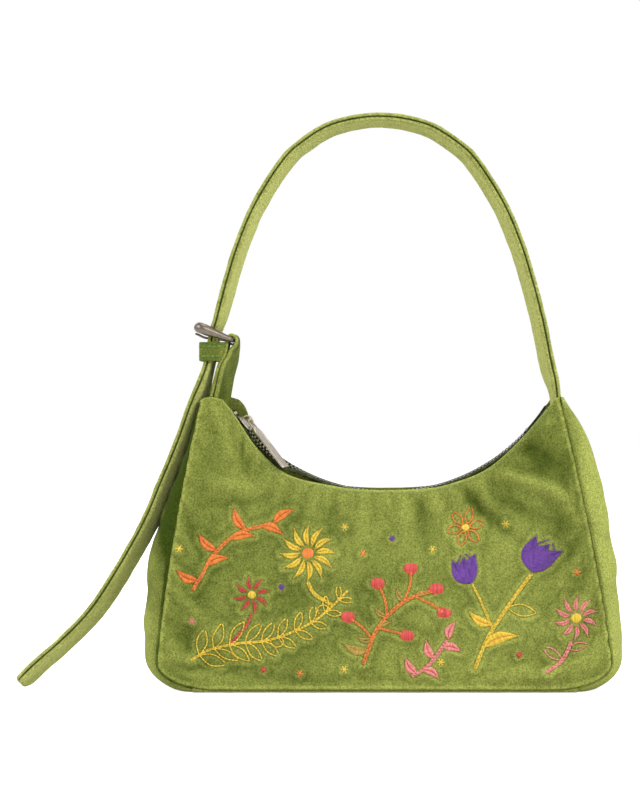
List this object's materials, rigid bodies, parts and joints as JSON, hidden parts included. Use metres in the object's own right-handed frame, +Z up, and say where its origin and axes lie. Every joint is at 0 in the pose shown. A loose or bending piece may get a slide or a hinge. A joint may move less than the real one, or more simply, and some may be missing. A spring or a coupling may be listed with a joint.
{
  "type": "mini shoulder bag",
  "caption": "Small velvet shoulder bag with a curved zip, gusseted body, buckled strap with a long free end, lining and base board.",
  "frame": {"origin": "centre of the flat base, on the surface that the bag stands on", "axes": "+X to the right as seen from the front, +Y from the embroidered front to the back, +Z up"},
  "size_m": [0.3343, 0.062, 0.3174],
  "materials": {
    "velvet": "olive green velvet pile",
    "interlining": "soft foam interlining",
    "lining": "plain woven cotton",
    "board": "pressed board",
    "zip_tape": "dark green woven tape",
    "teeth_metal": "dark antique metal",
    "slider_metal": "pale champagne metal",
    "buckle_metal": "polished gunmetal"
  },
  "bodies": {
    "bag": {"front_panel": "velvet", "back_panel": "velvet", "side_gusset_left": "velvet", "side_gusset_right": "velvet", "base_gusset": "velvet", "front_foam": "interlining", "back_foam": "interlining", "front_lining": "lining", "back_lining": "lining", "gusset_lining_left": "lining", "gusset_lining_right": "lining", "base_lining": "lining", "inner_pocket": "lining", "base_board": "board", "zip_tape_front": "zip_tape", "zip_tape_back": "zip_tape", "zip_teeth_front": "teeth_metal", "zip_teeth_back": "teeth_metal", "zip_bottom_stop": "teeth_metal", "zip_top_stop_front": "slider_metal", "zip_top_stop_back": "slider_metal", "strap_root_outer": "velvet", "strap_root_inner": "velvet", "strap_end_outer": "velvet", "strap_end_inner": "velvet", "buckle_tab": "velvet", "keeper_loop": "velvet", "strap_bend_left_outer": "velvet", "strap_bend_left_inner": "velvet", "strap_bend_right_outer": "velvet", "strap_bend_right_inner": "velvet"},
    "slider": {"zip_slider": "slider_metal"},
    "pull": {"zip_pull": "slider_metal"},
    "strap": {"strap_outer": "velvet", "strap_inner": "velvet"},
    "tail": {"tail_outer": "velvet", "tail_inner": "velvet"},
    "buckle": {"buckle_frame": "buckle_metal"},
    "prong": {"buckle_prong": "buckle_metal"}
  },
  "joints": [
    {"name": "zip_run", "type": "hinge", "parent": "bag", "child": "slider", "pos_m": [0.0017, 0, 0.2124], "axis": [0, -1, 0], "range_deg": [0, 84]},
    {"name": "pull_swing", "type": "hinge", "parent": "slider", "child": "pull", "pos_m": [-0.07465, -0.00098, 0.14834], "axis": [-0.4291, -0.789, -0.4397], "range_deg": [0, 120]},
    {"name": "strap_fold", "type": "hinge", "parent": "bag", "child": "strap", "pos_m": [0, 0, 0.216], "axis": [1, 0, 0], "range_deg": [-90, 90], "deforming": ["strap_bend_left_outer", "strap_bend_left_inner", "strap_bend_right_outer", "strap_bend_right_inner"]},
    {"name": "tail_swing", "type": "hinge", "parent": "bag", "child": "tail", "pos_m": [-0.1, 0, 0.1802], "axis": [0, 1, 0], "range_deg": [0, 35]},
    {"name": "buckle_tilt", "type": "hinge", "parent": "bag", "child": "buckle", "pos_m": [-0.0845, 0, 0.192], "axis": [0, 1, 0], "range_deg": [0, 8]},
    {"name": "prong_lift", "type": "hinge", "parent": "buckle", "child": "prong", "pos_m": [-0.0845, 0, 0.192], "axis": [0, -1, 0], "range_deg": [0, 4]}
  ]
}
